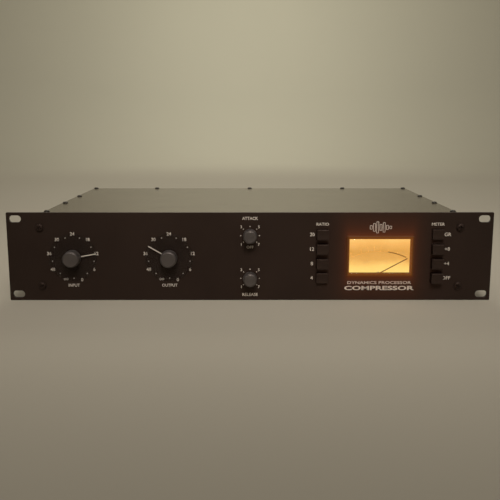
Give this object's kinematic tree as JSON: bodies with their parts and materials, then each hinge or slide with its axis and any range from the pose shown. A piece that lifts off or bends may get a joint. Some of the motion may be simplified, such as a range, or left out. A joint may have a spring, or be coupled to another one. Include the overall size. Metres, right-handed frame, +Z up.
{
  "type": "rack compressor",
  "caption": "Two-unit rack-mount audio compressor: black front panel with two large and two small knobs, push-button columns and an amber level meter on a steel box.",
  "frame": {"origin": "centre of the bottom cover's underside, on which the unit rests", "axes": "+X to the right as seen from the front, +Y from the front panel to the back, +Z up"},
  "size_m": [0.4826, 0.3071, 0.089],
  "materials": {
    "panel_paint": "satin black, slightly warm, fine texture",
    "case_paint": "semi-gloss dark grey-brown paint",
    "black_screw": "blackened steel",
    "knob_aluminium": "turned and satin anodised",
    "clear_plastic": "clear acrylic",
    "shaft_steel": "turned steel",
    "pot_metal": "nickel-plated",
    "switch_metal": "plated steel",
    "black_plastic": "moulded black plastic",
    "meter_amber": "translucent dial card, lit amber from behind",
    "lamp": "filament lamp",
    "needle_black": "matt black",
    "contact_metal": "plated contacts",
    "board": "glass-fibre board",
    "bracket_steel": "plated steel",
    "capacitor_can": "drawn aluminium can"
  },
  "bodies": {
    "chassis": {"front_panel": "panel_paint", "left_side_plate": "case_paint", "right_side_plate": "case_paint", "rear_panel": "case_paint", "top_cover": "case_paint", "bottom_cover": "case_paint", "panel_screw_upper_left": "black_screw", "panel_screw_upper_right": "black_screw", "panel_screw_lower_left": "black_screw", "panel_screw_lower_right": "black_screw", "meter_lens": "clear_plastic", "input_attenuator": "pot_metal", "output_potentiometer": "pot_metal", "attack_potentiometer": "pot_metal", "release_potentiometer": "pot_metal", "input_bushing_nut": "pot_metal", "output_bushing_nut": "pot_metal", "attack_bushing_nut": "pot_metal", "release_bushing_nut": "pot_metal", "ratio_switch_bank": "switch_metal", "meter_switch_bank": "switch_metal", "meter_bezel": "black_plastic", "meter_housing": "black_plastic", "input_connector_shell": "black_plastic", "output_connector_shell": "black_plastic", "input_connector_insert": "black_plastic", "mains_inlet_shell": "black_plastic", "fuse_holder": "black_plastic", "terminal_strip": "black_plastic", "meter_dial": "meter_amber", "meter_lamp": "lamp", "output_connector_insert": "contact_metal", "mains_inlet_insert": "contact_metal", "main_board": "board", "board_bracket_left": "bracket_steel", "board_bracket_right": "bracket_steel", "power_transformer": "bracket_steel", "input_transformer": "bracket_steel", "output_transformer": "bracket_steel", "meter_movement": "bracket_steel", "filter_capacitor": "capacitor_can"},
    "input_control": {"input_knob": "knob_aluminium", "input_shaft": "shaft_steel", "input_knob_skirt": "clear_plastic"},
    "output_control": {"output_knob": "knob_aluminium", "output_shaft": "shaft_steel", "output_knob_skirt": "clear_plastic"},
    "attack_control": {"attack_knob": "knob_aluminium", "attack_shaft": "shaft_steel"},
    "release_control": {"release_knob": "knob_aluminium", "release_shaft": "shaft_steel"},
    "ratio_button_20": {"ratio_button_20": "black_plastic"},
    "ratio_button_12": {"ratio_button_12": "black_plastic"},
    "ratio_button_8": {"ratio_button_8": "black_plastic"},
    "ratio_button_4": {"ratio_button_4": "black_plastic"},
    "meter_button_reduction": {"meter_button_reduction": "black_plastic"},
    "meter_button_plus_8": {"meter_button_plus_8": "black_plastic"},
    "meter_button_plus_4": {"meter_button_plus_4": "black_plastic"},
    "meter_button_off": {"meter_button_off": "black_plastic"},
    "meter_needle": {"meter_needle": "needle_black"}
  },
  "joints": [
    {"name": "input_knob_turn", "type": "hinge", "parent": "chassis", "child": "input_control", "pos_m": [-0.1765, -0.1429, 0.0407], "axis": [0, 1, 0], "range_deg": [-240, 80]},
    {"name": "output_knob_turn", "type": "hinge", "parent": "chassis", "child": "output_control", "pos_m": [-0.0806, -0.1429, 0.0407], "axis": [0, 1, 0], "range_deg": [-100, 220]},
    {"name": "attack_knob_turn", "type": "hinge", "parent": "chassis", "child": "attack_control", "pos_m": [0, -0.1429, 0.0628], "axis": [0, 1, 0], "range_deg": [-165, 135]},
    {"name": "release_knob_turn", "type": "hinge", "parent": "chassis", "child": "release_control", "pos_m": [0, -0.1429, 0.0195], "axis": [0, 1, 0], "range_deg": [-135, 135]},
    {"name": "ratio_button_20_press", "type": "slide", "parent": "chassis", "child": "ratio_button_20", "axis": [0, 1, 0], "range_m": [0, 0.004]},
    {"name": "ratio_button_12_press", "type": "slide", "parent": "chassis", "child": "ratio_button_12", "axis": [0, 1, 0], "range_m": [0, 0.004]},
    {"name": "ratio_button_8_press", "type": "slide", "parent": "chassis", "child": "ratio_button_8", "axis": [0, 1, 0], "range_m": [0, 0.004]},
    {"name": "ratio_button_4_press", "type": "slide", "parent": "chassis", "child": "ratio_button_4", "axis": [0, 1, 0], "range_m": [-0.003, 0.001]},
    {"name": "meter_button_reduction_press", "type": "slide", "parent": "chassis", "child": "meter_button_reduction", "axis": [0, 1, 0], "range_m": [-0.003, 0.001]},
    {"name": "meter_button_plus_8_press", "type": "slide", "parent": "chassis", "child": "meter_button_plus_8", "axis": [0, 1, 0], "range_m": [0, 0.004]},
    {"name": "meter_button_plus_4_press", "type": "slide", "parent": "chassis", "child": "meter_button_plus_4", "axis": [0, 1, 0], "range_m": [0, 0.004]},
    {"name": "meter_button_off_press", "type": "slide", "parent": "chassis", "child": "meter_button_off", "axis": [0, 1, 0], "range_m": [0, 0.004]},
    {"name": "meter_needle_swing", "type": "hinge", "parent": "chassis", "child": "meter_needle", "pos_m": [0.1297, -0.1378, 0.0236], "axis": [0, 1, 0], "range_deg": [-123, 0]}
  ]
}
